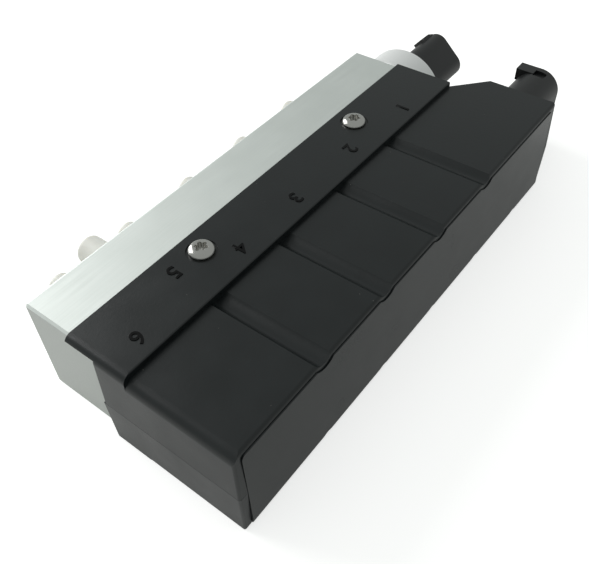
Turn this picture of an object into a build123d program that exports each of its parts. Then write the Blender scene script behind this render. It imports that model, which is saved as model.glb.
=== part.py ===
from build123d import *
import math
import os

# Air suspension valve block, in millimetres. X runs along the block towards the two
# electrical connectors, Y points out of the six tube ports, and Z is up. The origin is
# the centre of the aluminium block's bottom face.

# Aluminium block. Its length follows from the row of valves and the two end margins.
BLOCK_WIDTH = 30.0
BLOCK_HEIGHT = 35.0
BLOCK_EDGE_RADIUS = 0.9
BLOCK_END_BEVEL = 0.7
NEAR_MARGIN = 18.3
FAR_MARGIN = 26.7

# Row of five solenoid valves
COIL_COUNT = 5
COIL_GAP = 2.5
STROKE = 1.2

# Valve bores in the block, and the gallery that joins them
CHAMBER_RADIUS = 5.3
CHAMBER_DEPTH = 9.5
SEAT_BORE_RADIUS = 7.6
SEAT_BORE_DEPTH = 2.2
NOZZLE_RADIUS = 2.2
NOZZLE_HEIGHT = 0.8
ORIFICE_RADIUS = 1.0
GALLERY_RADIUS = 2.0
GALLERY_RISE = 3.5
GALLERY_INSET = 6.0

# Tube ports: five for the springs and the reservoir, and a larger one for the supply
PORT_BORE_RADIUS = 5.0
PORT_BORE_DEPTH = 11.0
PORT_PASSAGE_RADIUS = 2.1
PORT_PASSAGE_DEPTH = 15.0
SUPPLY_OFFSET = 16.2
SUPPLY_BORE_RADIUS = 6.0
SUPPLY_BORE_DEPTH = 12.5
SUPPLY_PASSAGE_RADIUS = 2.6
COLLAR_HEIGHT = 1.2
COLLAR_LIP = 0.5
COLLET_HEIGHT = 1.0
COLLET_LENGTH = 5.0
COLLET_WALL = 0.9
TUBE_RADIUS = 2.0
SUPPLY_TUBE_RADIUS = 3.0
PORT_SEAL_WIRE = 0.5
PLUG_RADIUS = 4.4
PLUG_REACH = 14.8
SUPPLY_PLUG_RADIUS = 4.9
SUPPLY_PLUG_REACH = 19.5
PLUG_END_RADIUS = 1.4
PLUG_STEM_LENGTH = 6.8

# Solenoid
YOKE_WIDTH = 20.0
YOKE_LENGTH = 39.6
YOKE_HEADROOM = 5.5
YOKE_SHEET = 2.0
YOKE_BEND = 2.5
YOKE_GAP = 0.1
TUBE_OUTER_RADIUS = 5.0
TUBE_WALL = 0.5
TUBE_FLANGE_RADIUS = 7.4
TUBE_FLANGE_THICKNESS = 1.2
TUBE_END_INSET = 0.4
RUNNING_FIT = 0.06
SEAL_GAP = 0.9
PLUNGER_LENGTH = 27.5
PLUNGER_SEAL_RADIUS = 3.2
PLUNGER_SEAL_THICKNESS = 1.0
SPRING_POCKET_RADIUS = 2.3
PLUNGER_POCKET_DEPTH = 7.0
CORE_POCKET_DEPTH = 3.5
SPRING_WIRE_RADIUS = 0.3
SPRING_RADIUS = 1.75
SPRING_TURNS = 4
BOBBIN_WALL = 0.9
BOBBIN_FLANGE = 1.4
BOBBIN_CLEARANCE = 0.25
BOBBIN_EAR = 3.0
WINDING_CLEARANCE = 0.7

# Contact strips and their carrier, behind the coils
CARRIER_THICKNESS = 1.2
CARRIER_GAP = 0.2
CARRIER_MARGIN = 1.6
STRIP_THICKNESS = 0.7
STRIP_HEIGHT = 1.8
STRIP_LEG_INSET = 1.4
STRIP_SLOT_GAP = 0.2
STRIP_BEND_GAP = 0.3

# Plastic housing over the solenoids. Its near end and its side lean inwards from the
# parting line between the two covers, so that the covers leave their moulds.
NEAR_OVERHANG = 2.9
END_LAP = 0.7
FLANGE_FAR_SETBACK = 1.05
HOUSING_FAR_REACH = 10.3
CORNER_CUT = 10.3
CORNER_BELOW_CONNECTOR = 0.95
PAD_DROP = 0.2
FLANGE_THICKNESS = 1.5
FLANGE_OVERLAP = 10.9
STEP_DEPTH = 11.0
LIP_DEPTH = 12.3
UNDERSIDE_STEP = 0.4
COVER_WALL = 2.2
PARTING_GAP = 0.12
TOP_DRAFT = 2.5
LOW_DRAFT = 1.5
NEAR_EDGE_RADIUS = 3.2
FLANGE_EDGE_RADIUS = 2.7
STEP_EDGE_RADIUS = 0.4
FLANGE_CORNER_RADIUS = 0.9
TOP_SIDE_RADIUS = 1.1
BOTTOM_SIDE_RADIUS = 0.6
CORNER_RADIUS = 0.8
GROOVE_WIDTH = 6.0
TOP_GROOVE_DEPTH = 1.3
LOW_GROOVE_DEPTH = 2.2

# Side panel that closes the housing. It leans outwards towards its rounded lower edge.
PANEL_RECESS = 0.3
PANEL_THICKNESS = 2.0
PANEL_LEAN = 0.7
PANEL_NEAR_MARGIN = 2.9
PANEL_FAR_MARGIN = 3.0
PANEL_TOP_MARGIN = 1.2
PANEL_CORNER_RADIUS = 1.6
PANEL_EDGE_RADIUS = 0.3
PANEL_LOW_RADIUS = 2.2
PANEL_GAP = 0.12
LEDGE_THICKNESS = 1.4
LEDGE_WIDTH = 2.4
LEDGE_CLEARANCE = 1.5

# Cover screws, M4 pan heads with a six-lobe recess
SCREW_SPACING = 76.0
SCREW_ROW_SHIFT = 4.85
SCREW_INSET = 3.4
SCREW_HEAD_RADIUS = 4.0
SCREW_HEAD_HEIGHT = 2.1
SCREW_HEAD_ROUND = 0.8
SCREW_SHANK_RADIUS = 1.9
SCREW_HOLE_RADIUS = 2.0
SCREW_COVER_GAP = 0.25
SCREW_WALL = 0.9
SCREW_TIP_GAP = 0.5
SCREW_LOBE_CIRCLE = 0.385
SCREW_LOBE_RADIUS = 0.36
SCREW_RECESS_DEPTH = 1.4
SCREW_SEAT_RADIUS = 4.7
SCREW_SEAT_DEPTH = 0.4

# Main connector on the housing's far end
CONNECTOR_INSET = 16.7
CONNECTOR_WIDTH = 16.1
CONNECTOR_MARGIN = 5.1
CONNECTOR_REACH = 26.3
CONNECTOR_WALL = 1.4
CONNECTOR_FLOOR = 5.5
CONNECTOR_FLANGE = 1.6
CONNECTOR_FLANGE_SHIFT = 0.7
CONNECTOR_FLANGE_THICKNESS = 2.2
CONNECTOR_RIM = 5.0
CONNECTOR_RIM_DROP = 4.7
CONNECTOR_BACK = 3.2
CONNECTOR_PIN_LENGTH = 11.0
CONNECTOR_PIN_COLUMNS = 5.6
CONNECTOR_PIN_MARGIN = 4.9
NOTCH_SHIFT = 0.9
NOTCH_WIDTH = 4.4
NOTCH_DEPTH = 1.2
NOTCH_REACH = 2.8

# Pressure sensor in the block's far end
SENSOR_RISE = 0.4
SENSOR_CAN_RADIUS = 16.2
SENSOR_CAN_LENGTH = 13.6
SENSOR_CAN_BEVEL = 1.2
SENSOR_RIM_BEVEL = 1.0
SENSOR_SPIGOT_RADIUS = 11.9
SENSOR_SPIGOT_DEPTH = 3.0
SENSOR_SPIGOT_GAP = 1.0
SENSOR_STUD_RADIUS = 5.9
SENSOR_STUD_LENGTH = 10.0
SENSOR_SEAL_WIRE = 0.7
SENSOR_SEAL_EDGE = 0.4
SENSOR_CRIMP = 1.4
SENSOR_CRIMP_THICKNESS = 1.2
SENSOR_BASE_DEPTH = 4.0
SENSOR_SHELL_THICK = 12.0
SENSOR_SHELL_WIDE = 18.9
SENSOR_SHELL_RADIUS = 5.0
SENSOR_SHELL_TILT = 42.5
SENSOR_SHELL_REACH = 43.2
SENSOR_SHELL_WALL = 1.3
SENSOR_SOCKET_DEPTH = 16.5
SENSOR_PIN_LENGTH = 8.5
SENSOR_PIN_PITCH = 4.2
SENSOR_PIN_THICKNESS = 0.8
SENSOR_PIN_WIDTH = 2.2
SENSOR_PIN_ROOT = 3.0
SENSOR_TAB_SETBACK = 0.4
SENSOR_TAB_LENGTH = 7.8
SENSOR_TAB_RAMP = 2.6
SENSOR_TAB_WIDTH = 5.0
SENSOR_TAB_HEIGHT = 1.1

FIT = 0.05

# Valve row, from the near end of the block to the far end
ear_span = YOKE_WIDTH + 2 * BOBBIN_EAR
coil_pitch = ear_span + COIL_GAP
block_length = NEAR_MARGIN + coil_pitch * (COIL_COUNT - 1) + FAR_MARGIN
block_near = -block_length / 2
block_far = block_length / 2
port_face = BLOCK_WIDTH / 2
valve_face = -BLOCK_WIDTH / 2
axis_z = BLOCK_HEIGHT / 2
coil_x = [block_near + NEAR_MARGIN + coil_pitch * i for i in range(COIL_COUNT)]
supply_x = coil_x[0] + SUPPLY_OFFSET
row_centre = (coil_x[0] + coil_x[-1]) / 2
screw_x = [row_centre + SCREW_ROW_SHIFT + side * SCREW_SPACING / 2 for side in (-1, 1)]
screw_y = valve_face + SCREW_INSET

# Layers from the valve face to the side panel
yoke_height = BLOCK_HEIGHT - 2 * YOKE_HEADROOM
winding_radius = yoke_height / 2 - YOKE_SHEET - WINDING_CLEARANCE
yoke_front = valve_face - YOKE_GAP
yoke_back = yoke_front - YOKE_LENGTH
carrier_front = yoke_back - CARRIER_GAP
carrier_back = carrier_front - CARRIER_THICKNESS
strip_back = carrier_back - STRIP_THICKNESS
panel_back = strip_back - LEDGE_CLEARANCE - LEDGE_THICKNESS
panel_face = panel_back - PANEL_THICKNESS
side_y = panel_face - PANEL_RECESS

# Housing limits
housing_near = block_near - NEAR_OVERHANG
housing_far = block_far + HOUSING_FAR_REACH
flange_far = block_far - FLANGE_FAR_SETBACK
flange_top = BLOCK_HEIGHT + FLANGE_THICKNESS
pad_top = BLOCK_HEIGHT - PAD_DROP
step_y = valve_face - STEP_DEPTH
flange_y = valve_face + FLANGE_OVERLAP
lip_y = valve_face - LIP_DEPTH
top_slope = math.tan(math.radians(TOP_DRAFT))
low_slope = math.tan(math.radians(LOW_DRAFT))
connector_y = side_y + CONNECTOR_INSET
connector_height = BLOCK_HEIGHT - 2 * CONNECTOR_MARGIN
cut_end_y = connector_y + CONNECTOR_WIDTH / 2 + CORNER_BELOW_CONNECTOR
cut_start_y = cut_end_y + CORNER_CUT


def pulled_x(points, x0, x1, radii=None):
    """A section in Y and Z, pulled along X. The radii round its corners by their number."""
    face = make_face(Polyline(*[(0, y, z) for y, z in points], close=True))
    face = rounded(face, [(0, y, z) for y, z in points], radii)
    return Pos(x0, 0, 0) * extrude(face, x1 - x0, dir=(1, 0, 0))


def pulled_y(points, y0, y1, radii=None):
    """A section in X and Z, pulled along Y. The radii round its corners by their number."""
    face = make_face(Polyline(*[(x, 0, z) for x, z in points], close=True))
    face = rounded(face, [(x, 0, z) for x, z in points], radii)
    return Pos(0, y0, 0) * extrude(face, y1 - y0, dir=(0, 1, 0))


def rounded(face, corners, radii):
    for number, radius in (radii or {}).items():
        corner = Vector(*corners[number])
        vertex = min(face.vertices(), key=lambda v: (Vector(v.X, v.Y, v.Z) - corner).length)
        face = fillet(vertex, radius)
    return face


def upright_edge(shape, x, y):
    """The long upright edge nearest to a place seen from above."""
    edges = [e for e in shape.edges() if abs((e @ 1).Z - (e @ 0).Z) > 0.8 * e.length]
    return min(edges, key=lambda e: math.hypot(e.center().X - x, e.center().Y - y))


def box(x0, x1, y0, y1, z0, z1):
    """A box between two corners."""
    size = (x1 - x0, y1 - y0, z1 - z0)
    return Pos((x0 + x1) / 2, (y0 + y1) / 2, (z0 + z1) / 2) * Box(*size)


def rod_x(radius, x0, x1, y, z):
    """A cylinder along X."""
    return Pos((x0 + x1) / 2, y, z) * Rot(0, 90, 0) * Cylinder(radius, abs(x1 - x0))


def rod_y(radius, y0, y1, x, z):
    """A cylinder along Y."""
    return Pos(x, (y0 + y1) / 2, z) * Rot(90, 0, 0) * Cylinder(radius, abs(y1 - y0))


def rod_z(radius, z0, z1, x, y):
    """A cylinder along Z."""
    return Pos(x, y, (z0 + z1) / 2) * Cylinder(radius, abs(z1 - z0))


def rounded_rod_x(wide, high, radius, x0, x1, y, z, tilt=0.0):
    """A rounded rectangle of size wide (Y) by high (Z), turned about X and pulled along X."""
    face = Plane(origin=(x0, y, z), x_dir=(0, 1, 0), z_dir=(1, 0, 0)) * (
        Rot(0, 0, tilt) * RectangleRounded(wide, high, radius)
    )
    return extrude(face, x1 - x0, dir=(1, 0, 0))


def turned_y(points, x, z):
    """A turned part about an axis along Y, from (radius, y) points of its half section."""
    profile = make_face(Polyline(*[(x + r, y, z) for r, y in points], close=True))
    return revolve(profile, Axis((x, 0, z), (0, 1, 0)))


def turned_x(points, y, z):
    """A turned part about an axis along X, from (x, radius) points of its half section."""
    profile = make_face(Polyline(*[(px, y + r, z) for px, r in points], close=True))
    return revolve(profile, Axis((0, y, z), (1, 0, 0)))


def ring_y(major, wire, x, y, z):
    """A rubber ring about an axis along Y. Its section has eight sides."""
    section = RegularPolygon(wire, 8, major_radius=False, rotation=22.5)
    return revolve(Plane(origin=(x + major, y, z), z_dir=(0, 0, 1)) * section, Axis((x, 0, z), (0, 1, 0)))


def save(name, shape):
    """Write one node, as one solid or as a group of separate solids."""
    export_step(shape, os.path.join("parts", name + ".step"))


def group(solids):
    return Compound(children=[s.solid() for s in solids])


# Block: an extruded bar, bevelled at its sawn ends, with ports in one long side, valve
# bores in the other and a gallery drilled from the sensor's seat through all chambers.
gallery_y = valve_face + GALLERY_INSET
sensor_z = axis_z + SENSOR_RISE
screw_floor = axis_z + SEAT_BORE_RADIUS + SCREW_WALL


def make_block():
    section = Plane(origin=(block_near, 0, axis_z), x_dir=(0, 1, 0), z_dir=(1, 0, 0)) * (
        RectangleRounded(BLOCK_WIDTH, BLOCK_HEIGHT, BLOCK_EDGE_RADIUS)
    )
    block = extrude(section, block_length, dir=(1, 0, 0))
    ends = block.faces().sort_by(Axis.X)
    block = chamfer(ends[0].edges() + ends[-1].edges(), BLOCK_END_BEVEL)
    chamber_floor = valve_face + CHAMBER_DEPTH
    for x in coil_x:
        block -= rod_y(PORT_BORE_RADIUS, port_face - PORT_BORE_DEPTH, port_face + 1, x, axis_z)
        block -= rod_y(PORT_PASSAGE_RADIUS, port_face - PORT_PASSAGE_DEPTH, port_face, x, axis_z)
        chamber = rod_y(CHAMBER_RADIUS, valve_face - 1, chamber_floor, x, axis_z)
        nozzle = rod_y(NOZZLE_RADIUS, chamber_floor - NOZZLE_HEIGHT, chamber_floor, x, axis_z)
        block -= chamber - nozzle
        block -= rod_y(SEAT_BORE_RADIUS, valve_face - 1, valve_face + SEAT_BORE_DEPTH, x, axis_z)
        block -= rod_y(ORIFICE_RADIUS, chamber_floor - NOZZLE_HEIGHT - 1, port_face, x, axis_z)
    block -= rod_x(GALLERY_RADIUS, coil_x[0], block_far, gallery_y, axis_z + GALLERY_RISE)
    block -= rod_y(SUPPLY_BORE_RADIUS, port_face - SUPPLY_BORE_DEPTH, port_face + 1, supply_x, axis_z)
    block -= rod_y(SUPPLY_PASSAGE_RADIUS, gallery_y, port_face, supply_x, axis_z)
    spigot_floor = block_far - SENSOR_SPIGOT_DEPTH
    block -= rod_x(SENSOR_SPIGOT_RADIUS + FIT, spigot_floor, block_far + 1, 0, sensor_z)
    stud_end = spigot_floor - SENSOR_STUD_LENGTH - 1
    block -= rod_x(SENSOR_STUD_RADIUS + FIT, stud_end, block_far, 0, sensor_z)
    for x in screw_x:
        block -= rod_z(SCREW_HOLE_RADIUS, screw_floor, BLOCK_HEIGHT + 1, x, screw_y)
    return block


# Housing: two covers that meet at the parting line. Each one is a wedge from a section, a
# plan and the leaning near end, with its corners rounded. Hollow grooves cross it between
# the coils, four on top and five underneath.
top_groove_radius = ((GROOVE_WIDTH / 2) ** 2 + TOP_GROOVE_DEPTH**2) / (2 * TOP_GROOVE_DEPTH)
low_groove_radius = ((GROOVE_WIDTH / 2) ** 2 + LOW_GROOVE_DEPTH**2) / (2 * LOW_GROOVE_DEPTH)
top_groove_x = [x + coil_pitch / 2 for x in coil_x[:-1]]
low_groove_x = [x + coil_pitch / 2 for x in coil_x]
lap_y = valve_face + END_LAP


def cut_top_grooves(shape, wall=0.0):
    """Cut the grooves on top out of a shape, or keep the shape one wall away from them."""
    z = pad_top - TOP_GROOVE_DEPTH + top_groove_radius
    for x in top_groove_x:
        shape -= rod_y(top_groove_radius + wall, side_y - 2, step_y, x, z)
    return shape


def cut_low_grooves(shape, wall=0.0):
    """The same for the grooves underneath."""
    z = UNDERSIDE_STEP + LOW_GROOVE_DEPTH - low_groove_radius
    for x in low_groove_x:
        shape -= rod_y(low_groove_radius + wall, side_y - 2, step_y, x, z)
    return shape


def plan_outline(near, side, far_inset, front):
    """The housing's outline from above, with the cut far corner."""
    slope_x = housing_far - flange_far
    slope = math.hypot(slope_x, CORNER_CUT)
    # The slanted corner keeps its direction and moves inwards square to itself
    shift = far_inset * (slope - CORNER_CUT) / slope_x
    return [
        (near, front),
        (near, side),
        (housing_far - far_inset, side),
        (housing_far - far_inset, cut_end_y - shift),
        (flange_far - far_inset, cut_start_y - shift),
        (flange_far - far_inset, front),
    ]


def cover_form(section, near_line, section_radii):
    """One cover before it is hollowed: its section along X, cut by its plan and near end."""
    far = housing_far + 1
    corners = plan_outline(housing_near - 1, side_y - 1, 0, flange_y)
    plan = Pos(0, 0, -1) * extrude(make_face(Polyline(*corners, close=True)), flange_top + 2)
    near_wedge = pulled_y([*near_line, (far, near_line[-1][1]), (far, near_line[0][1])], side_y - 1, flange_y)
    form = pulled_x(section, housing_near - 1, far) & plan & near_wedge
    side_edge = upright_edge(form, near_line[0][0], side_y)
    far_edge = upright_edge(form, housing_far, side_y)
    form = fillet([side_edge, far_edge], CORNER_RADIUS)
    return form & pulled_x(section, housing_near - 1, far, section_radii)


def make_top_form():
    rise = flange_top - axis_z
    near_line = [(housing_near, axis_z), (housing_near + top_slope * rise, flange_top)]
    section = [
        (valve_face, axis_z),
        (valve_face, BLOCK_HEIGHT),
        (flange_y, BLOCK_HEIGHT),
        (flange_y, flange_top),
        (step_y, flange_top),
        (step_y, pad_top),
        (side_y + top_slope * (pad_top - axis_z), pad_top),
        (side_y, axis_z),
    ]
    form = cover_form(section, near_line, {4: STEP_EDGE_RADIUS, 6: TOP_SIDE_RADIUS})
    form += near_lap(near_line)
    far = housing_far + 1
    pad_near = housing_near + top_slope * (pad_top - axis_z)
    pads = pulled_y(
        [(housing_near, axis_z), (pad_near, pad_top), (far, pad_top), (far, axis_z)],
        side_y - 1,
        step_y,
        {1: NEAR_EDGE_RADIUS},
    )
    front = pulled_y(
        [*near_line, (far, flange_top), (far, axis_z)],
        step_y,
        flange_y + 1,
        {1: FLANGE_EDGE_RADIUS},
    )
    form &= pads + front
    corner = upright_edge(form, near_line[1][0], flange_y)
    form = fillet(corner, FLANGE_CORNER_RADIUS)
    return cut_top_grooves(form)


def make_low_form():
    near_line = [(housing_near, axis_z), (housing_near + low_slope * axis_z, 0)]
    section = [
        (valve_face, axis_z),
        (valve_face, 0),
        (lip_y, 0),
        (lip_y, UNDERSIDE_STEP),
        (side_y + low_slope * (axis_z - UNDERSIDE_STEP), UNDERSIDE_STEP),
        (side_y, axis_z),
    ]
    form = cover_form(section, near_line, {4: BOTTOM_SIDE_RADIUS})
    form += near_lap(near_line)
    return cut_low_grooves(form)


def near_lap(near_line):
    """The lip of a cover that reaches round the block's near end."""
    (x0, z0), (x1, z1) = near_line
    z1 = min(z1, BLOCK_HEIGHT)
    x1 = near_line[0][0] + (near_line[1][0] - near_line[0][0]) * (z1 - z0) / (near_line[1][1] - z0)
    inner = block_near - FIT
    return pulled_y([(x0, z0), (x1, z1), (inner, z1), (inner, z0)], valve_face - COVER_WALL, lap_y)


def make_cavity():
    """The space inside, which follows the grooves so that the wall keeps its thickness."""
    lean = top_slope * (pad_top - axis_z)
    near = housing_near + lean + COVER_WALL
    ledge = panel_back + LEDGE_THICKNESS
    plan = make_face(Polyline(*plan_outline(near, ledge, COVER_WALL, step_y + COVER_WALL), close=True))
    low = UNDERSIDE_STEP + COVER_WALL
    cavity = Pos(0, 0, low) * extrude(plan, pad_top - COVER_WALL - low)
    far = flange_far - COVER_WALL
    cavity += box(near, far, step_y, valve_face + 1, COVER_WALL, BLOCK_HEIGHT - COVER_WALL)
    return cut_low_grooves(cut_top_grooves(cavity, COVER_WALL), COVER_WALL)


def panel_blank(inset, z0, y0, y1):
    """The side panel's outline above a height, with rounded corners, pulled along Y."""
    x0 = housing_near + PANEL_NEAR_MARGIN + inset
    x1 = housing_far - PANEL_FAR_MARGIN - inset
    z1 = pad_top - PANEL_TOP_MARGIN - inset
    plane = Plane(origin=((x0 + x1) / 2, y0, (z0 + z1) / 2), x_dir=(-1, 0, 0), z_dir=(0, 1, 0))
    return extrude(plane * RectangleRounded(x1 - x0, z1 - z0, PANEL_CORNER_RADIUS), y1 - y0, dir=(0, 1, 0))


def make_panel():
    low = UNDERSIDE_STEP
    high = pad_top - PANEL_TOP_MARGIN - PANEL_GAP
    foot = panel_face - PANEL_LEAN
    panel = panel_blank(PANEL_GAP, low - PANEL_CORNER_RADIUS, foot, panel_back)
    section = [(panel_back, low), (panel_back, high), (panel_face, high), (foot, low)]
    panel &= pulled_x(section, housing_near, housing_far, {2: PANEL_EDGE_RADIUS, 3: PANEL_LOW_RADIUS})
    return cut_low_grooves(cut_top_grooves(panel, PANEL_TOP_MARGIN + PANEL_GAP))


def make_housing():
    opening = cut_top_grooves(panel_blank(0, -5, side_y - 1, panel_back), PANEL_TOP_MARGIN)
    ledge_low = UNDERSIDE_STEP + LEDGE_WIDTH
    ledge = panel_blank(LEDGE_WIDTH, ledge_low, panel_back - 1, panel_back + LEDGE_THICKNESS + 1)
    opening += cut_low_grooves(cut_top_grooves(ledge, COVER_WALL), COVER_WALL)
    opening += make_cavity()
    opening += rounded_rod_x(
        CONNECTOR_WIDTH + 2 * FIT,
        connector_height + 2 * FIT,
        CONNECTOR_WIDTH / 2 - FIT,
        housing_far - COVER_WALL - 1,
        housing_far + 1,
        connector_y,
        axis_z,
    )
    x0 = housing_near - 1
    x1 = housing_far + 1
    half_gap = PARTING_GAP / 2
    upper = box(x0, x1, side_y - 1, port_face, axis_z + half_gap, flange_top + 1)
    lower = box(x0, x1, side_y - 1, port_face, -1, axis_z - half_gap)
    top_cover = (make_top_form() & upper) - opening
    low_cover = (make_low_form() & lower) - opening
    for x in screw_x:
        top_cover -= rod_z(SCREW_HOLE_RADIUS + SCREW_COVER_GAP, BLOCK_HEIGHT - 1, flange_top + 1, x, screw_y)
        top_cover -= rod_z(SCREW_SEAT_RADIUS, flange_top - SCREW_SEAT_DEPTH, flange_top + 1, x, screw_y)
    return top_cover, low_cover


# Cover screw: a domed pan head with a six-lobe recess, and a plain shank for its thread.
def make_screw(x):
    seat = flange_top - SCREW_SEAT_DEPTH
    top = seat + SCREW_HEAD_HEIGHT
    head = rod_z(SCREW_HEAD_RADIUS, seat, top, x, screw_y)
    head = fillet(head.edges().sort_by(Axis.Z)[-1], SCREW_HEAD_HEIGHT * SCREW_HEAD_ROUND)
    screw = head + rod_z(SCREW_SHANK_RADIUS, screw_floor + SCREW_TIP_GAP, seat, x, screw_y)
    circle = SCREW_HEAD_RADIUS * SCREW_LOBE_CIRCLE
    recess = rod_z(circle, top - SCREW_RECESS_DEPTH, top + 1, x, screw_y)
    for i in range(6):
        angle = math.radians(60 * i)
        lobe_x = x + circle * math.cos(angle)
        lobe_y = screw_y + circle * math.sin(angle)
        recess += rod_z(circle * SCREW_LOBE_RADIUS, top - SCREW_RECESS_DEPTH, top + 1, lobe_x, lobe_y)
    return screw - recess


# Tube port: a brass fitting with a collar on the block's face, a collet and seal inside
# it, and the white transport plug whose stem the collet holds.
def make_fitting(x, bore_radius, bore_depth, passage_radius, tube_radius):
    outer = bore_radius - FIT
    collet_outer = tube_radius + FIT + COLLET_WALL
    seal_floor = port_face + COLLAR_HEIGHT - COLLET_LENGTH - 2 * PORT_SEAL_WIRE
    top = port_face + COLLAR_HEIGHT
    back = port_face - bore_depth
    return turned_y(
        [
            (passage_radius, back),
            (outer, back),
            (outer, port_face),
            (bore_radius + COLLAR_LIP, port_face),
            (bore_radius + COLLAR_LIP, top),
            (collet_outer + FIT, top),
            (collet_outer + FIT, seal_floor),
            (passage_radius, seal_floor),
        ],
        x,
        axis_z,
    )


def make_collet(x, tube_radius):
    inner = tube_radius + FIT
    outer = inner + COLLET_WALL
    top = port_face + COLLAR_HEIGHT
    return turned_y(
        [
            (inner, top - COLLET_LENGTH),
            (outer, top - COLLET_LENGTH),
            (outer, top),
            (outer + COLLET_WALL, top),
            (outer + COLLET_WALL, top + COLLET_HEIGHT),
            (inner, top + COLLET_HEIGHT),
        ],
        x,
        axis_z,
    )


def make_port_seal(x, tube_radius):
    y = port_face + COLLAR_HEIGHT - COLLET_LENGTH - PORT_SEAL_WIRE
    return ring_y(tube_radius + FIT + PORT_SEAL_WIRE, PORT_SEAL_WIRE - FIT, x, y, axis_z)


def make_plug(x, radius, reach, tube_radius):
    foot = port_face + COLLAR_HEIGHT + COLLET_HEIGHT
    head = rod_y(radius, foot, port_face + reach, x, axis_z)
    head = fillet(head.edges().sort_by(Axis.Y)[-1], PLUG_END_RADIUS)
    return head + rod_y(tube_radius, foot - PLUG_STEM_LENGTH, foot, x, axis_z)


# Solenoid valve: the steel yoke frames the wound bobbin, and the guide tube carries the
# fixed core. The spring pushes the plunger and its rubber seal onto the block's nozzle.
nozzle_y = valve_face + CHAMBER_DEPTH - NOZZLE_HEIGHT
flange_seat = valve_face + SEAT_BORE_DEPTH - SEAL_GAP
plunger_front = nozzle_y - PLUNGER_SEAL_THICKNESS / 2
plunger_back = plunger_front - PLUNGER_LENGTH
core_face = plunger_back - STROKE
tube_end = yoke_back + TUBE_END_INSET


def make_yoke(x):
    middle_y = (yoke_front + yoke_back) / 2
    plane = Plane(origin=(x - YOKE_WIDTH / 2, middle_y, axis_z), x_dir=(0, 1, 0), z_dir=(1, 0, 0))
    strip = RectangleRounded(YOKE_LENGTH, yoke_height, YOKE_BEND)
    sheets = 2 * YOKE_SHEET
    strip -= RectangleRounded(YOKE_LENGTH - sheets, yoke_height - sheets, YOKE_BEND - YOKE_SHEET)
    frame = extrude(plane * strip, YOKE_WIDTH, dir=(1, 0, 0))
    return frame - rod_y(TUBE_OUTER_RADIUS + FIT, yoke_back - 1, yoke_front + 1, x, axis_z)


def make_bobbin(x):
    inner = TUBE_OUTER_RADIUS + BOBBIN_CLEARANCE
    front = yoke_front - YOKE_SHEET - BOBBIN_CLEARANCE
    back = yoke_back + YOKE_SHEET + BOBBIN_CLEARANCE
    half = yoke_height / 2 - YOKE_SHEET - BOBBIN_CLEARANCE
    ear = ear_span / 2
    low = axis_z - half
    high = axis_z + half
    bobbin = rod_y(inner + BOBBIN_WALL, back, front, x, axis_z)
    bobbin += box(x - half, x + half, front - BOBBIN_FLANGE, front, low, high)
    bobbin += box(x - ear, x + ear, back, back + BOBBIN_FLANGE, low, high)
    return bobbin - rod_y(inner, back - 1, front + 1, x, axis_z)


def make_winding(x):
    front = yoke_front - YOKE_SHEET - BOBBIN_CLEARANCE - BOBBIN_FLANGE - FIT
    back = yoke_back + YOKE_SHEET + BOBBIN_CLEARANCE + BOBBIN_FLANGE + FIT
    inner = TUBE_OUTER_RADIUS + BOBBIN_CLEARANCE + BOBBIN_WALL + FIT
    winding = rod_y(winding_radius, back, front, x, axis_z)
    return winding - rod_y(inner, back - 1, front + 1, x, axis_z)


def make_guide_tube(x):
    bore = TUBE_OUTER_RADIUS - TUBE_WALL
    flange_back = flange_seat - TUBE_FLANGE_THICKNESS
    pocket = core_face - CORE_POCKET_DEPTH
    return turned_y(
        [
            (bore, flange_seat),
            (TUBE_FLANGE_RADIUS, flange_seat),
            (TUBE_FLANGE_RADIUS, flange_back),
            (TUBE_OUTER_RADIUS, flange_back),
            (TUBE_OUTER_RADIUS, tube_end),
            (0, tube_end),
            (0, pocket),
            (SPRING_POCKET_RADIUS, pocket),
            (SPRING_POCKET_RADIUS, core_face),
            (bore, core_face),
        ],
        x,
        axis_z,
    )


def make_tube_seal(x):
    wire = SEAL_GAP / 2
    return ring_y((SEAT_BORE_RADIUS + CHAMBER_RADIUS) / 2, wire, x, flange_seat + wire, axis_z)


def make_plunger(x):
    radius = TUBE_OUTER_RADIUS - TUBE_WALL - RUNNING_FIT
    seal_floor = plunger_front - PLUNGER_SEAL_THICKNESS / 2
    pocket = plunger_back + PLUNGER_POCKET_DEPTH
    return turned_y(
        [
            (0, seal_floor),
            (PLUNGER_SEAL_RADIUS, seal_floor),
            (PLUNGER_SEAL_RADIUS, plunger_front),
            (radius, plunger_front),
            (radius, plunger_back),
            (SPRING_POCKET_RADIUS, plunger_back),
            (SPRING_POCKET_RADIUS, pocket),
            (0, pocket),
        ],
        x,
        axis_z,
    )


def make_plunger_seal(x):
    seal_floor = plunger_front - PLUNGER_SEAL_THICKNESS / 2
    return rod_y(PLUNGER_SEAL_RADIUS - FIT, seal_floor, nozzle_y, x, axis_z)


def make_spring(x):
    """The return spring, whose wire has a six-sided section."""
    front = plunger_back + PLUNGER_POCKET_DEPTH - SPRING_WIRE_RADIUS
    back = core_face - CORE_POCKET_DEPTH + SPRING_WIRE_RADIUS
    length = front - back
    wire_path = Helix(length / SPRING_TURNS, length, SPRING_RADIUS)
    wire_face = Plane(origin=wire_path @ 0, z_dir=wire_path % 0) * RegularPolygon(SPRING_WIRE_RADIUS, 6)
    coil = sweep(wire_face, wire_path)
    return Pos(x, back, axis_z) * Rot(-90, 0, 0) * coil


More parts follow.
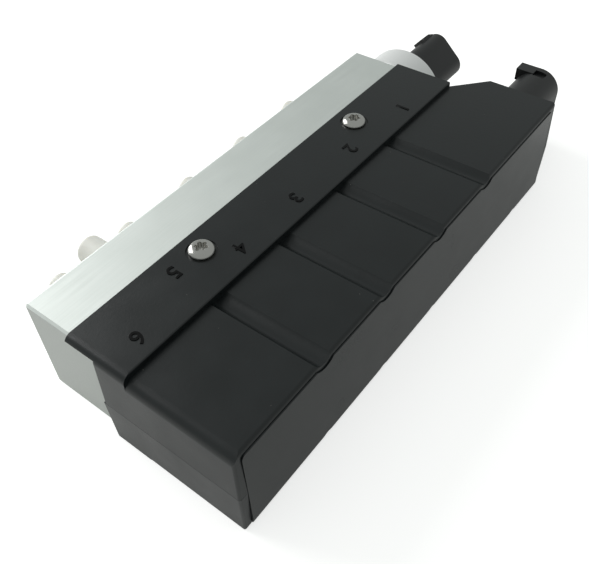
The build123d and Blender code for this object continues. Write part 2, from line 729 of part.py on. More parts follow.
# Contact strips: one stamped strip for each coil and one for them all. Each is a pin in
# the main connector, a bend towards the side panel and a run along the carrier.
strip_pitch = (connector_height - 2 * CONNECTOR_PIN_MARGIN) / COIL_COUNT
strip_z = [axis_z + strip_pitch * (k - COIL_COUNT / 2) for k in range(COIL_COUNT + 1)]
strip_leg = ear_span / 2 - STRIP_LEG_INSET
connector_back = housing_far - COVER_WALL - CONNECTOR_FLANGE_THICKNESS - CONNECTOR_BACK
bend_x = connector_back - STRIP_THICKNESS - STRIP_BEND_GAP
connector_floor = housing_far + CONNECTOR_FLOOR
pin_tip = connector_floor + CONNECTOR_PIN_LENGTH


def pin_y(k):
    return connector_y + CONNECTOR_PIN_COLUMNS / 2 * (1 if k % 2 else -1)


def make_strip(k):
    z0 = strip_z[k] - STRIP_HEIGHT / 2
    z1 = strip_z[k] + STRIP_HEIGHT / 2
    half = STRIP_THICKNESS / 2
    ear_y = yoke_back + YOKE_SHEET + BOBBIN_CLEARANCE
    common = k == COIL_COUNT
    leg_side = strip_leg if common else -strip_leg
    legs = [x + leg_side for x in (coil_x if common else [coil_x[k]])]
    strip = box(bend_x, pin_tip, pin_y(k) - half, pin_y(k) + half, z0, z1)
    strip += box(bend_x, bend_x + STRIP_THICKNESS, strip_back, pin_y(k) + half, z0, z1)
    strip += box(legs[0] - half, bend_x + STRIP_THICKNESS, strip_back, carrier_back, z0, z1)
    for x in legs:
        strip += box(x - half, x + half, strip_back, ear_y, z0, z1)
    return strip


def make_carrier():
    near = coil_x[0] - ear_span / 2
    far = coil_x[-1] + ear_span / 2
    half_height = (strip_z[-1] - strip_z[0] + STRIP_HEIGHT) / 2 + CARRIER_MARGIN
    carrier = box(near, far, carrier_back, carrier_front, axis_z - half_height, axis_z + half_height)
    half = STRIP_THICKNESS / 2 + STRIP_SLOT_GAP
    tall = STRIP_HEIGHT / 2 + STRIP_SLOT_GAP
    for k, x in enumerate(coil_x):
        for leg_x, z in ((x - strip_leg, strip_z[k]), (x + strip_leg, strip_z[-1])):
            slot = box(leg_x - half, leg_x + half, carrier_back - 1, carrier_front + 1, z - tall, z + tall)
            carrier -= slot
    return carrier


# Main connector: a moulded shell held by its inner flange between the two covers. Its
# rim is square at one top corner, which keys the mating plug, and has a latch notch.
def make_main_connector():
    x_rim = housing_far + CONNECTOR_REACH
    inner_wall = housing_far - COVER_WALL
    wide = CONNECTOR_WIDTH
    high = connector_height
    flange_x = inner_wall - CONNECTOR_FLANGE_THICKNESS
    round_end = wide / 2 - FIT
    shell = rounded_rod_x(wide, high, round_end, inner_wall - FIT, x_rim, connector_y, axis_z)
    top = axis_z + high / 2
    key_x = x_rim - CONNECTOR_RIM
    key = box(key_x, x_rim, connector_y, connector_y + wide / 2, top - CONNECTOR_RIM_DROP, top)
    shell += key
    grow = 2 * CONNECTOR_FLANGE
    shell += rounded_rod_x(
        wide + grow - 2 * CONNECTOR_FLANGE_SHIFT,
        high + grow,
        round_end,
        flange_x,
        inner_wall - FIT,
        connector_y - CONNECTOR_FLANGE_SHIFT,
        axis_z,
    )
    shell += rounded_rod_x(
        wide - grow, high - grow, round_end - CONNECTOR_FLANGE, connector_back, flange_x, connector_y, axis_z
    )
    shrink = 2 * CONNECTOR_WALL
    shell -= rounded_rod_x(
        wide - shrink,
        high - shrink,
        round_end - CONNECTOR_WALL,
        connector_floor,
        x_rim + 1,
        connector_y,
        axis_z,
    )
    notch_y = connector_y - NOTCH_SHIFT
    y0 = notch_y - NOTCH_WIDTH / 2
    shell -= box(key_x - 1, key_x + NOTCH_REACH, y0, y0 + NOTCH_WIDTH, top - NOTCH_DEPTH, top + 1)
    for k, z in enumerate(strip_z):
        half_y = STRIP_THICKNESS / 2
        half_z = STRIP_HEIGHT / 2
        y = pin_y(k)
        shell -= box(connector_back - 1, connector_floor + 1, y - half_y, y + half_y, z - half_z, z + half_z)
    return shell


# Pressure sensor: a metal can screwed into the block's end, with the connector shell
# crimped into it. The shell's long side is turned by the angle at which it was tightened.
can_far = block_far + SENSOR_CAN_LENGTH
shell_rim = block_far + SENSOR_SHELL_REACH
base_x = can_far - SENSOR_BASE_DEPTH
crimp_x = can_far - SENSOR_CRIMP_THICKNESS


def make_sensor_can():
    spigot = block_far - SENSOR_SPIGOT_DEPTH + SENSOR_SPIGOT_GAP
    stud = block_far - SENSOR_SPIGOT_DEPTH - SENSOR_STUD_LENGTH
    groove_low = spigot + SENSOR_SEAL_EDGE
    groove_high = groove_low + 2 * SENSOR_SEAL_WIRE
    groove_r = SENSOR_SPIGOT_RADIUS - 2 * SENSOR_SEAL_WIRE
    base_r = SENSOR_CAN_RADIUS - SENSOR_CRIMP
    return turned_x(
        [
            (stud, 0),
            (stud, SENSOR_STUD_RADIUS),
            (spigot, SENSOR_STUD_RADIUS),
            (spigot, SENSOR_SPIGOT_RADIUS),
            (groove_low, SENSOR_SPIGOT_RADIUS),
            (groove_low, groove_r),
            (groove_high, groove_r),
            (groove_high, SENSOR_SPIGOT_RADIUS),
            (block_far, SENSOR_SPIGOT_RADIUS),
            (block_far, SENSOR_CAN_RADIUS - SENSOR_CAN_BEVEL),
            (block_far + SENSOR_CAN_BEVEL, SENSOR_CAN_RADIUS),
            (can_far - SENSOR_RIM_BEVEL, SENSOR_CAN_RADIUS),
            (can_far, SENSOR_CAN_RADIUS - SENSOR_RIM_BEVEL),
            (can_far, base_r - SENSOR_CRIMP_THICKNESS),
            (crimp_x, base_r - SENSOR_CRIMP_THICKNESS),
            (crimp_x, base_r),
            (base_x, base_r),
            (base_x, 0),
        ],
        0,
        sensor_z,
    )


def make_sensor_seal():
    """A rubber ring in the spigot's groove. Its section has eight sides."""
    x = block_far - SENSOR_SPIGOT_DEPTH + SENSOR_SPIGOT_GAP + SENSOR_SEAL_EDGE + SENSOR_SEAL_WIRE
    major = SENSOR_SPIGOT_RADIUS - SENSOR_SEAL_WIRE
    section = RegularPolygon(SENSOR_SEAL_WIRE - FIT, 8, major_radius=False, rotation=22.5)
    ring = Plane(origin=(x, major, sensor_z), z_dir=(0, 0, 1)) * section
    return revolve(ring, Axis((0, 0, sensor_z), (1, 0, 0)))


def sensor_blade(v, x0, x1):
    """A flat pin, placed at v along the shell's long side."""
    angle = math.radians(SENSOR_SHELL_TILT)
    y = v * math.cos(angle)
    z = sensor_z + v * math.sin(angle)
    return Pos((x0 + x1) / 2, y, z) * Rot(SENSOR_SHELL_TILT, 0, 0) * (
        Box(x1 - x0, SENSOR_PIN_WIDTH, SENSOR_PIN_THICKNESS)
    )


def make_sensor_connector():
    base_r = SENSOR_CAN_RADIUS - SENSOR_CRIMP - FIT
    base_top = crimp_x - FIT
    base = rod_x(base_r, base_x + FIT, base_top, 0, sensor_z)
    shell = base + rounded_rod_x(
        SENSOR_SHELL_WIDE,
        SENSOR_SHELL_THICK,
        SENSOR_SHELL_RADIUS,
        base_top - 1,
        shell_rim,
        0,
        sensor_z,
        SENSOR_SHELL_TILT,
    )
    shrink = 2 * SENSOR_SHELL_WALL
    floor = shell_rim - SENSOR_SOCKET_DEPTH
    shell -= rounded_rod_x(
        SENSOR_SHELL_WIDE - shrink,
        SENSOR_SHELL_THICK - shrink,
        SENSOR_SHELL_RADIUS - SENSOR_SHELL_WALL,
        floor,
        shell_rim + 1,
        0,
        sensor_z,
        SENSOR_SHELL_TILT,
    )
    end = SENSOR_SHELL_WIDE / 2
    tab_x = shell_rim - SENSOR_TAB_SETBACK
    root = end - SENSOR_SHELL_WALL / 2
    wedge = make_face(
        Polyline(
            (tab_x - SENSOR_TAB_LENGTH, root, 0),
            (tab_x - SENSOR_TAB_LENGTH, end + SENSOR_TAB_HEIGHT, 0),
            (tab_x - SENSOR_TAB_RAMP, end + SENSOR_TAB_HEIGHT, 0),
            (tab_x, end, 0),
            (tab_x, root, 0),
            close=True,
        )
    )
    tab = extrude(wedge, SENSOR_TAB_WIDTH / 2, both=True)
    shell += Pos(0, 0, sensor_z) * Rot(SENSOR_SHELL_TILT, 0, 0) * tab
    for v in sensor_pin_v:
        shell -= sensor_blade(v, floor - SENSOR_PIN_ROOT, floor + 1)
    return shell


def make_sensor_pin(v):
    floor = shell_rim - SENSOR_SOCKET_DEPTH
    return sensor_blade(v, floor - SENSOR_PIN_ROOT, floor + SENSOR_PIN_LENGTH)


sensor_pin_v = [-SENSOR_PIN_PITCH, 0, SENSOR_PIN_PITCH]


# Write every piece
os.makedirs("parts", exist_ok=True)
save("manifold_block", make_block())
top_cover, bottom_cover = make_housing()
save("top_cover", top_cover)
save("bottom_cover", bottom_cover)
save("side_panel", make_panel())
save("cover_screws", group([make_screw(x) for x in screw_x]))

port_x = coil_x + [supply_x]
port_tube = [TUBE_RADIUS] * COIL_COUNT + [SUPPLY_TUBE_RADIUS]
save("tube_seals", group([make_port_seal(x, r) for x, r in zip(port_x, port_tube)]))
save("collets", group([make_collet(x, r) for x, r in zip(port_x, port_tube)]))
for i, x in enumerate(coil_x, start=1):
    fitting = make_fitting(x, PORT_BORE_RADIUS, PORT_BORE_DEPTH, PORT_PASSAGE_RADIUS, TUBE_RADIUS)
    save(f"port_fitting_{i}", fitting)
    save(f"port_plug_{i}", make_plug(x, PLUG_RADIUS, PLUG_REACH, TUBE_RADIUS))
save(
    "supply_fitting",
    make_fitting(supply_x, SUPPLY_BORE_RADIUS, SUPPLY_BORE_DEPTH, SUPPLY_PASSAGE_RADIUS, SUPPLY_TUBE_RADIUS),
)
save("supply_plug", make_plug(supply_x, SUPPLY_PLUG_RADIUS, SUPPLY_PLUG_REACH, SUPPLY_TUBE_RADIUS))

for i, x in enumerate(coil_x, start=1):
    save(f"yoke_{i}", make_yoke(x))
    save(f"bobbin_{i}", make_bobbin(x))
    save(f"guide_tube_{i}", make_guide_tube(x))
    save(f"plunger_{i}", make_plunger(x))
    save(f"plunger_seal_{i}", make_plunger_seal(x))
    save(f"return_spring_{i}", make_spring(x))
save("windings", group([make_winding(x) for x in coil_x]))
save("guide_tube_seals", group([make_tube_seal(x) for x in coil_x]))

save("contact_strips", group([make_strip(k) for k in range(COIL_COUNT + 1)]))
save("contact_carrier", make_carrier())
save("main_connector", make_main_connector())

save("sensor_can", make_sensor_can())
save("sensor_seal", make_sensor_seal())
save("sensor_connector", make_sensor_connector())
save("sensor_pins", group([make_sensor_pin(v) for v in sensor_pin_v]))
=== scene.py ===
import math
import bpy
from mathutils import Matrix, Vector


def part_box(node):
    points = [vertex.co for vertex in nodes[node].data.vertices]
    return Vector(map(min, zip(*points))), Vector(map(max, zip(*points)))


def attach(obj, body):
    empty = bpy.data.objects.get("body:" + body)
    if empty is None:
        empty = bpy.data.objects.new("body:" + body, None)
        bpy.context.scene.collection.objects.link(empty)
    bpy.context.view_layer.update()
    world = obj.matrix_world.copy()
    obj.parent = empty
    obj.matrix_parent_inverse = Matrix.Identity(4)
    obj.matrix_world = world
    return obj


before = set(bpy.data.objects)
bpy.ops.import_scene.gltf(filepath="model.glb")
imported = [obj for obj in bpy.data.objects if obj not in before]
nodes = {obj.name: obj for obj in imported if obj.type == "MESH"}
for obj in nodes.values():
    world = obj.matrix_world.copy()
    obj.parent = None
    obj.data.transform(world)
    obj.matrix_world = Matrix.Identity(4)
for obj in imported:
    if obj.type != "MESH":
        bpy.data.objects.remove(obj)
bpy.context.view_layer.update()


# Camera. It is held close, off the block's near end and over the side panel, so that the
# near corner looks large and the far end small. Places are in metres.
scene = bpy.context.scene
camera_data = bpy.data.cameras.new("camera")
camera_data.lens = 44.22
camera_data.sensor_width = 36.0
camera_data.clip_start = 0.01
camera = bpy.data.objects.new("camera", camera_data)
camera.location = (-0.13407, -0.12456, 0.17877)
camera.rotation_euler = (math.radians(42.978), math.radians(1.865), math.radians(-52.527))
scene.collection.objects.link(camera)
scene.camera = camera


# Table top. White melamine-faced board under soft daylight. Its glow makes it white to
# the camera, a weaker one shows in glossy faces, and it keeps the object's shadow.
def linear(hex_colour):
    """An sRGB hex colour as the linear RGBA that shaders take."""
    values = [int(hex_colour[i:i + 2], 16) / 255 for i in (1, 3, 5)]
    return [v / 12.92 if v <= 0.04045 else ((v + 0.055) / 1.055) ** 2.4 for v in values] + [1.0]


def add_node(tree, kind, inputs=None, **settings):
    """Adds one node with its settings, and sets or links its inputs."""
    node = tree.nodes.new(kind)
    for name, value in settings.items():
        setattr(node, name, value)
    for name, value in (inputs or {}).items():
        if isinstance(value, bpy.types.NodeSocket):
            tree.links.new(value, node.inputs[name])
        else:
            node.inputs[name].default_value = value
    return node


TABLE_SIZE = 3.0
GLOW_TO_CAMERA = 0.64
GLOW_TO_GLOSS = 0.12
board = bpy.data.materials.new("white_melamine_board")
board.use_nodes = True
tree = board.node_tree
tree.nodes.clear()
sight = add_node(tree, "ShaderNodeLightPath")
seen = add_node(tree, "ShaderNodeMath", {0: sight.outputs["Is Camera Ray"],
                1: sight.outputs["Is Transmission Ray"]}, operation="MAXIMUM")
to_camera = add_node(tree, "ShaderNodeMath", {0: seen.outputs[0], 1: GLOW_TO_CAMERA}, operation="MULTIPLY")
to_gloss = add_node(tree, "ShaderNodeMath", {0: sight.outputs["Is Glossy Ray"], 1: GLOW_TO_GLOSS},
                    operation="MULTIPLY")
glow_strength = add_node(tree, "ShaderNodeMath", {0: to_camera.outputs[0], 1: to_gloss.outputs[0]},
                         operation="ADD")
melamine = add_node(tree, "ShaderNodeBsdfDiffuse", {"Color": linear("#E6E6E4")})
glow = add_node(tree, "ShaderNodeEmission", {"Color": linear("#FFFFFF"),
                "Strength": glow_strength.outputs[0]})
glowing_board = add_node(tree, "ShaderNodeAddShader", {0: melamine.outputs[0], 1: glow.outputs[0]})
add_node(tree, "ShaderNodeOutputMaterial", {"Surface": glowing_board.outputs[0]})

table_mesh = bpy.data.meshes.new("table_top")
half = TABLE_SIZE / 2
corners = [(-half, -half, 0), (half, -half, 0), (half, half, 0), (-half, half, 0)]
table_mesh.from_pydata(corners, [], [(0, 1, 2, 3)])
table_top = bpy.data.objects.new("table_top", table_mesh)
table_top.data.materials.append(board)
scene.collection.objects.link(table_top)


# Light. A pale room all round and one low window on the port side, so that the bare bar
# shines towards its near end while the black covers reflect only the even room.
ROOM_STRENGTH = 0.5
WINDOW_SIZE = 0.8
WINDOW_POWER = 8.5
room = bpy.data.worlds.new("pale_room")
scene.world = room
room.use_nodes = True
tree = room.node_tree
tree.nodes.clear()
sight = add_node(tree, "ShaderNodeLightPath")
lighting_wall = add_node(tree, "ShaderNodeBackground", {"Color": linear("#F2F7F5"),
                         "Strength": ROOM_STRENGTH})
white_wall = add_node(tree, "ShaderNodeBackground", {"Color": linear("#FFFFFF"), "Strength": 1.0})
seen = add_node(tree, "ShaderNodeMath", {0: sight.outputs["Is Camera Ray"],
                1: sight.outputs["Is Transmission Ray"]}, operation="MAXIMUM")
walls = add_node(tree, "ShaderNodeMixShader", {0: seen.outputs[0], 1: lighting_wall.outputs[0],
                 2: white_wall.outputs[0]})
add_node(tree, "ShaderNodeOutputWorld", {"Surface": walls.outputs[0]})

window_light = bpy.data.lights.new("window", "AREA")
window_light.size = WINDOW_SIZE
window_light.energy = WINDOW_POWER
window = bpy.data.objects.new("window", window_light)
window.location = (-0.1, 0.95, 0.48)
towards_block = -window.location
window.rotation_euler = towards_block.to_track_quat("-Z", "Y").to_euler()
scene.collection.objects.link(window)
scene.view_settings.view_transform = "Standard"


# Manifold block. A bar of extruded 6000-series aluminium, sawn to length, etched matte
# and left bare, so its long faces carry faint lengthwise lines. The ends are given a darker
# colour, partly their duller sawn finish and partly painted shade.
MM = 0.001


def new_material(name):
    """A material with one Principled shader, and that shader and its tree."""
    material = bpy.data.materials.new(name)
    material.use_nodes = True
    shader = material.node_tree.nodes["Principled BSDF"]
    return material, material.node_tree, shader


def wear(node_name, material):
    """Gives a CAD node its one finish."""
    slots = nodes[node_name].data.materials
    slots.clear()
    slots.append(material)


# The real lines and etched grain are some 0.1 mm across, and are drawn coarser to show.
LINE_PITCH = 0.5 * MM
LINE_STRETCH = 0.02
ETCH_GRAIN = 0.35 * MM
STAIN_SIZE = 18 * MM
BAR_RELIEF = 0.012 * MM
END_FACE_NORMAL = 0.9
bar_skin, tree, shader = new_material("etched_extruded_aluminium")
place = add_node(tree, "ShaderNodeNewGeometry")
stretch = add_node(tree, "ShaderNodeMapping", {"Vector": place.outputs["Position"],
                   "Scale": (LINE_STRETCH / LINE_PITCH, 1 / LINE_PITCH, 1 / LINE_PITCH)})
lines = add_node(tree, "ShaderNodeTexNoise", {"Vector": stretch.outputs[0], "Scale": 1.0, "Detail": 3.0})
etch = add_node(tree, "ShaderNodeTexNoise", {"Vector": place.outputs["Position"], "Scale": 1 / ETCH_GRAIN,
                "Detail": 4.0})
stain = add_node(tree, "ShaderNodeTexNoise", {"Vector": place.outputs["Position"], "Scale": 1 / STAIN_SIZE,
                 "Detail": 3.0})
etched = add_node(tree, "ShaderNodeMix", {"Factor": stain.outputs["Fac"], "A": linear("#D9DEDA"),
                  "B": linear("#E7EBE8")}, data_type="RGBA")
facing = add_node(tree, "ShaderNodeSeparateXYZ", {"Vector": place.outputs["True Normal"]})
lengthwise = add_node(tree, "ShaderNodeMath", {0: facing.outputs["X"]}, operation="ABSOLUTE")
# Faces that point along the bar are its sawn ends. Their darker colour is partly the duller sawn finish and
# partly painted shade, for the light that falls less on the ends.
sawn_and_painted_end_shade = add_node(tree, "ShaderNodeMath", {0: lengthwise.outputs[0], 1: END_FACE_NORMAL},
                operation="GREATER_THAN")
bar_tone_with_end_shade = add_node(tree, "ShaderNodeMix", {"Factor": sawn_and_painted_end_shade.outputs[0], "A": etched.outputs["Result"],
                "B": linear("#CCCFCC")}, data_type="RGBA")
rough = add_node(tree, "ShaderNodeMapRange", {"Value": lines.outputs["Fac"], "From Min": 0.3,
                 "From Max": 0.7, "To Min": 0.52, "To Max": 0.66})
relief = add_node(tree, "ShaderNodeMath", {0: lines.outputs["Fac"], 1: etch.outputs["Fac"]},
                  operation="ADD")
bump = add_node(tree, "ShaderNodeBump", {"Height": relief.outputs[0], "Distance": BAR_RELIEF,
                "Strength": 0.6})
shader.inputs["Metallic"].default_value = 1.0
tree.links.new(bar_tone_with_end_shade.outputs["Result"], shader.inputs["Base Color"])
tree.links.new(rough.outputs["Result"], shader.inputs["Roughness"])
tree.links.new(bump.outputs["Normal"], shader.inputs["Normal"])
wear("manifold_block", bar_skin)


# Top cover, bottom cover and side panel. Black nylon with glass fibre, injection-moulded
# in a spark-eroded mould: an even grain, a soft sheen and a few specks of dust. The
# panel's mould is less deeply eroded, so it mirrors the table a little more.

# The real mould grain is some 0.3 mm across, and is drawn coarser so that it shows.
MOULD_GRAIN = 0.8 * MM
MOULD_RELIEF = 0.05 * MM
FIBRE_CLOUD = 12 * MM
DUST_SPACING = 2.6 * MM
SPECK_RADIUS = 0.117 * MM
CLEAN_SHARE = 0.8


def moulded_nylon_skin(name, smoothest, roughest):
    """Black glass-filled nylon with mould grain, fibre clouds and a few dust specks."""
    material, tree, shader = new_material(name)
    place = add_node(tree, "ShaderNodeNewGeometry")
    eroded = add_node(tree, "ShaderNodeTexNoise", {"Vector": place.outputs["Position"],
                      "Scale": 1 / MOULD_GRAIN, "Detail": 5.0, "Roughness": 0.65})
    fibre = add_node(tree, "ShaderNodeTexNoise", {"Vector": place.outputs["Position"],
                     "Scale": 1 / FIBRE_CLOUD, "Detail": 4.0})
    dust = add_node(tree, "ShaderNodeTexVoronoi", {"Vector": place.outputs["Position"],
                    "Scale": 1 / DUST_SPACING})
    speck = add_node(tree, "ShaderNodeMath", {0: dust.outputs["Distance"], 1: SPECK_RADIUS / DUST_SPACING},
                     operation="LESS_THAN")
    chance = add_node(tree, "ShaderNodeSeparateColor", {"Color": dust.outputs["Color"]})
    few = add_node(tree, "ShaderNodeMath", {0: chance.outputs["Red"], 1: CLEAN_SHARE},
                   operation="GREATER_THAN")
    shown = add_node(tree, "ShaderNodeMath", {0: speck.outputs[0], 1: few.outputs[0]}, operation="MULTIPLY")
    black = add_node(tree, "ShaderNodeMix", {"Factor": fibre.outputs["Fac"], "A": linear("#0B1011"),
                     "B": linear("#121819")}, data_type="RGBA")
    dusty = add_node(tree, "ShaderNodeMix", {"Factor": shown.outputs[0], "A": black.outputs["Result"],
                     "B": linear("#6E6C68")}, data_type="RGBA")
    rough = add_node(tree, "ShaderNodeMapRange", {"Value": fibre.outputs["Fac"], "From Min": 0.3,
                     "From Max": 0.7, "To Min": smoothest, "To Max": roughest})
    bump = add_node(tree, "ShaderNodeBump", {"Height": eroded.outputs["Fac"], "Distance": MOULD_RELIEF,
                    "Strength": 0.6})
    tree.links.new(dusty.outputs["Result"], shader.inputs["Base Color"])
    tree.links.new(rough.outputs["Result"], shader.inputs["Roughness"])
    tree.links.new(bump.outputs["Normal"], shader.inputs["Normal"])
    return material


cover_plastic = moulded_nylon_skin("glass_filled_nylon_moulded", 0.29, 0.36)
panel_plastic = moulded_nylon_skin("glass_filled_nylon_fine_mould", 0.22, 0.28)
wear("top_cover", cover_plastic)
wear("bottom_cover", cover_plastic)
wear("side_panel", panel_plastic)


# Port numbers. Plain figures moulded on the flange beside the ports, to be read from the
# port side. Their part of the mould is polished and not eroded, so they come out darker.
# Each place is the figure's middle in the part's frame, in millimetres.
FIGURE_HEIGHT = 5.0 * MM
FIGURE_RAISE = 0.16 * MM
STROKE_GAIN = 0.06 * MM
FIGURE_BEVEL = 0.04 * MM
FIGURE_SHARE_OF_FONT_SIZE = 0.73
FLOW_MARK = 1.5 * MM
figure_plastic, tree, shader = new_material("glass_filled_nylon_polished")
place = add_node(tree, "ShaderNodeNewGeometry")
flow = add_node(tree, "ShaderNodeTexNoise", {"Vector": place.outputs["Position"], "Scale": 1 / FLOW_MARK,
                "Detail": 2.0})
rough = add_node(tree, "ShaderNodeMapRange", {"Value": flow.outputs["Fac"], "To Min": 0.2, "To Max": 0.3})
tree.links.new(rough.outputs["Result"], shader.inputs["Roughness"])
shader.inputs["Base Color"].default_value = linear("#060607")
shader.inputs["Specular IOR Level"].default_value = 0.16
flange_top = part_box("top_cover")[1].z
figure_places = {"1": (55.2, -20.2), "2": (25.8, -18.7), "3": (-3.9, -19.1), "4": (-30.0, -19.5),
                 "5": (-48.2, -10.9), "6": (-70.2, -19.4)}
for figure, (x, y) in figure_places.items():
    text = bpy.data.curves.new("port_number_" + figure, "FONT")
    text.body = figure
    text.size = FIGURE_HEIGHT / FIGURE_SHARE_OF_FONT_SIZE
    text.align_x = "CENTER"
    text.align_y = "CENTER"
    text.extrude = FIGURE_RAISE
    text.bevel_depth = FIGURE_BEVEL
    text.offset = STROKE_GAIN
    letter = bpy.data.objects.new("port_number_" + figure, text)
    letter.location = (x * MM, y * MM, flange_top)
    letter.rotation_euler = (0, 0, math.pi)
    letter.data.materials.append(figure_plastic)
    scene.collection.objects.link(letter)
    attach(letter, "block")


# Cover screws. Pan heads of cold-headed stainless steel with a pressed six-lobe recess,
# tumbled bright, which leaves small soft marks on the shine, drawn larger to show.
TUMBLE_MARK = 0.8 * MM
screw_steel, tree, shader = new_material("cold_headed_stainless_steel")
place = add_node(tree, "ShaderNodeNewGeometry")
tumble = add_node(tree, "ShaderNodeTexNoise", {"Vector": place.outputs["Position"],
                  "Scale": 1 / TUMBLE_MARK, "Detail": 3.0})
rough = add_node(tree, "ShaderNodeMapRange", {"Value": tumble.outputs["Fac"], "To Min": 0.14,
                 "To Max": 0.26})
tree.links.new(rough.outputs["Result"], shader.inputs["Roughness"])
shader.inputs["Base Color"].default_value = linear("#BDBCB8")
shader.inputs["Metallic"].default_value = 1.0
wear("cover_screws", screw_steel)


# Transport plugs. Natural polyethylene, moulded and pushed into the ports by hand, waxy
# and a little translucent.
WAX_CLOUD = 4 * MM
SCATTER_DEPTH = 1.5 * MM
plug_plastic, tree, shader = new_material("natural_polyethylene_moulded")
place = add_node(tree, "ShaderNodeNewGeometry")
wax = add_node(tree, "ShaderNodeTexNoise", {"Vector": place.outputs["Position"], "Scale": 1 / WAX_CLOUD,
               "Detail": 3.0})
tone = add_node(tree, "ShaderNodeMix", {"Factor": wax.outputs["Fac"], "A": linear("#E4E3DC"),
                "B": linear("#F1F0EA")}, data_type="RGBA")
rough = add_node(tree, "ShaderNodeMapRange", {"Value": wax.outputs["Fac"], "To Min": 0.35, "To Max": 0.5})
tree.links.new(tone.outputs["Result"], shader.inputs["Base Color"])
tree.links.new(rough.outputs["Result"], shader.inputs["Roughness"])
shader.inputs["IOR"].default_value = 1.51
shader.inputs["Subsurface Weight"].default_value = 0.4
shader.inputs["Subsurface Radius"].default_value = (1.0, 0.95, 0.85)
shader.inputs["Subsurface Scale"].default_value = SCATTER_DEPTH
for name in nodes:
    if name.startswith("port_plug") or name == "supply_plug":
        wear(name, plug_plastic)


# Port fittings and contacts. The fittings are turned brass, pressed into the ports, with
# a yellow shine that the tool marks break a little. The contact strips and the sensor's
# pins are stamped brass plated with tin, a soft silver white.
ROUGHNESS_SPREAD = 0.07


def worked_metal(name, colour, roughness, mark_size):
    """A bare metal whose tool or drawing marks vary its roughness."""
    material, tree, shader = new_material(name)
    place = add_node(tree, "ShaderNodeNewGeometry")
    marks = add_node(tree, "ShaderNodeTexNoise", {"Vector": place.outputs["Position"],
                     "Scale": 1 / mark_size, "Detail": 3.0})
    rough = add_node(tree, "ShaderNodeMapRange", {"Value": marks.outputs["Fac"],
                     "To Min": roughness - ROUGHNESS_SPREAD, "To Max": roughness + ROUGHNESS_SPREAD})
    tree.links.new(rough.outputs["Result"], shader.inputs["Roughness"])
    shader.inputs["Base Color"].default_value = linear(colour)
    shader.inputs["Metallic"].default_value = 1.0
    return material


# Real tool and drawing marks are 0.1 to 0.2 mm wide, and are drawn coarser to show.
brass = worked_metal("turned_brass", "#D8B66A", 0.3, 0.6 * MM)
tinned = worked_metal("tin_plated_brass", "#CFCBC0", 0.35, 0.5 * MM)
for name in nodes:
    if name.startswith("port_fitting") or name == "supply_fitting":
        wear(name, brass)
wear("contact_strips", tinned)
wear("sensor_pins", tinned)


# Solenoids. Yokes bent from zinc-plated sheet steel, dull blue-grey, tubes and plungers
# turned from magnetic steel, brighter, springs of drawn wire, and windings of enamelled
# copper wire, red-brown and ridged.
valves = [name[len("yoke_"):] for name in nodes if name.startswith("yoke_")]
zinc = worked_metal("zinc_plated_sheet_steel", "#BFC3C6", 0.38, 1.5 * MM)
magnet_steel = worked_metal("turned_magnetic_steel", "#B9B9B6", 0.3, 0.5 * MM)
spring_wire = worked_metal("drawn_spring_wire", "#A9AAAA", 0.32, 0.3 * MM)
for valve in valves:
    wear("yoke_" + valve, zinc)
    wear("guide_tube_" + valve, magnet_steel)
    wear("plunger_" + valve, magnet_steel)
    wear("return_spring_" + valve, spring_wire)

# The real wire is some 0.2 mm thick, and is drawn coarser so that its turns show.
# A wave texture's bands are pi / (10 * Scale) apart.
WIRE_PITCH = 0.5 * MM
WIRE_RELIEF = 0.15 * MM
copper, tree, shader = new_material("enamelled_copper_wire")
place = add_node(tree, "ShaderNodeNewGeometry")
turns = add_node(tree, "ShaderNodeTexWave", {"Vector": place.outputs["Position"],
                 "Scale": math.pi / (10 * WIRE_PITCH)}, wave_type="BANDS", bands_direction="Y")
bump = add_node(tree, "ShaderNodeBump", {"Height": turns.outputs["Fac"], "Distance": WIRE_RELIEF})
tree.links.new(bump.outputs["Normal"], shader.inputs["Normal"])
shader.inputs["Base Color"].default_value = linear("#B5592A")
shader.inputs["Metallic"].default_value = 1.0
shader.inputs["Roughness"].default_value = 0.3
wear("windings", copper)


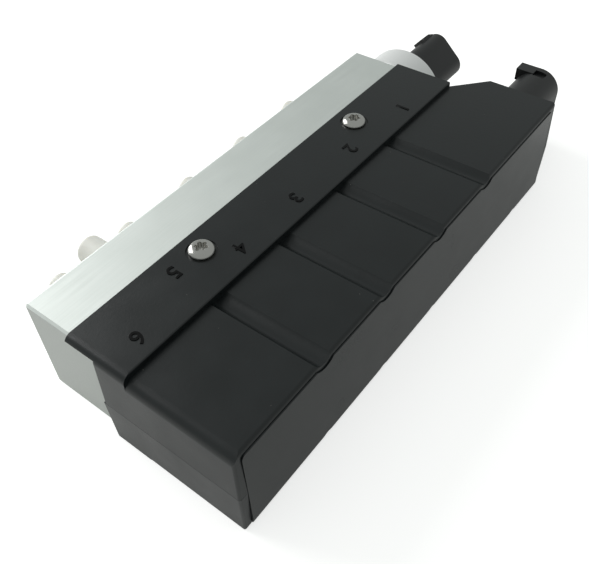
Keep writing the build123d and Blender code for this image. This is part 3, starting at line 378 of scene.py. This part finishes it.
# Inner mouldings and seals. Bobbins, carrier and collets are plain moulded nylon, dark
# grey with a slight sheen. The sealing rings and plunger seals are moulded nitrile
# rubber, nearly black and dull.
GRAIN_RELIEF = 0.015 * MM
GRAIN_SPREAD = 0.06


def moulding(name, colour, roughness, grain_size, ior):
    """A plain moulded plastic or rubber with a fine grain."""
    material, tree, shader = new_material(name)
    place = add_node(tree, "ShaderNodeNewGeometry")
    grain = add_node(tree, "ShaderNodeTexNoise", {"Vector": place.outputs["Position"],
                     "Scale": 1 / grain_size, "Detail": 4.0})
    rough = add_node(tree, "ShaderNodeMapRange", {"Value": grain.outputs["Fac"],
                     "To Min": roughness - GRAIN_SPREAD, "To Max": roughness + GRAIN_SPREAD})
    bump = add_node(tree, "ShaderNodeBump", {"Height": grain.outputs["Fac"], "Distance": GRAIN_RELIEF,
                    "Strength": 0.5})
    tree.links.new(rough.outputs["Result"], shader.inputs["Roughness"])
    tree.links.new(bump.outputs["Normal"], shader.inputs["Normal"])
    shader.inputs["Base Color"].default_value = linear(colour)
    shader.inputs["IOR"].default_value = ior
    return material


# The real grain of these is some 0.2 mm across, and is drawn coarser so that it shows.
nylon = moulding("moulded_nylon", "#2A2B2C", 0.5, 0.5 * MM, 1.53)
rubber = moulding("moulded_nitrile_rubber", "#151515", 0.65, 0.4 * MM, 1.52)
for valve in valves:
    wear("bobbin_" + valve, nylon)
    wear("plunger_seal_" + valve, rubber)
wear("contact_carrier", nylon)
wear("collets", nylon)
for name in ("tube_seals", "guide_tube_seals", "sensor_seal"):
    wear(name, rubber)


# Connectors. The coil connector and the sensor's shell are moulded polyester, a little
# duller and deeper black than the covers.
polyester = moulding("moulded_polyester", "#0C0E0F", 0.42, 0.45 * MM, 1.57)
wear("main_connector", polyester)
wear("sensor_connector", polyester)


# Pressure sensor can. Deep-drawn aluminium, its edge crimped over the shell, then
# blasted with glass beads: the skin scatters part of the light, so it looks near white.
METAL_SHARE = 0.45
can_metal = worked_metal("blasted_aluminium_can", "#F2F3F2", 0.5, 0.9 * MM)
can_metal.node_tree.nodes["Principled BSDF"].inputs["Metallic"].default_value = METAL_SHARE
wear("sensor_can", can_metal)
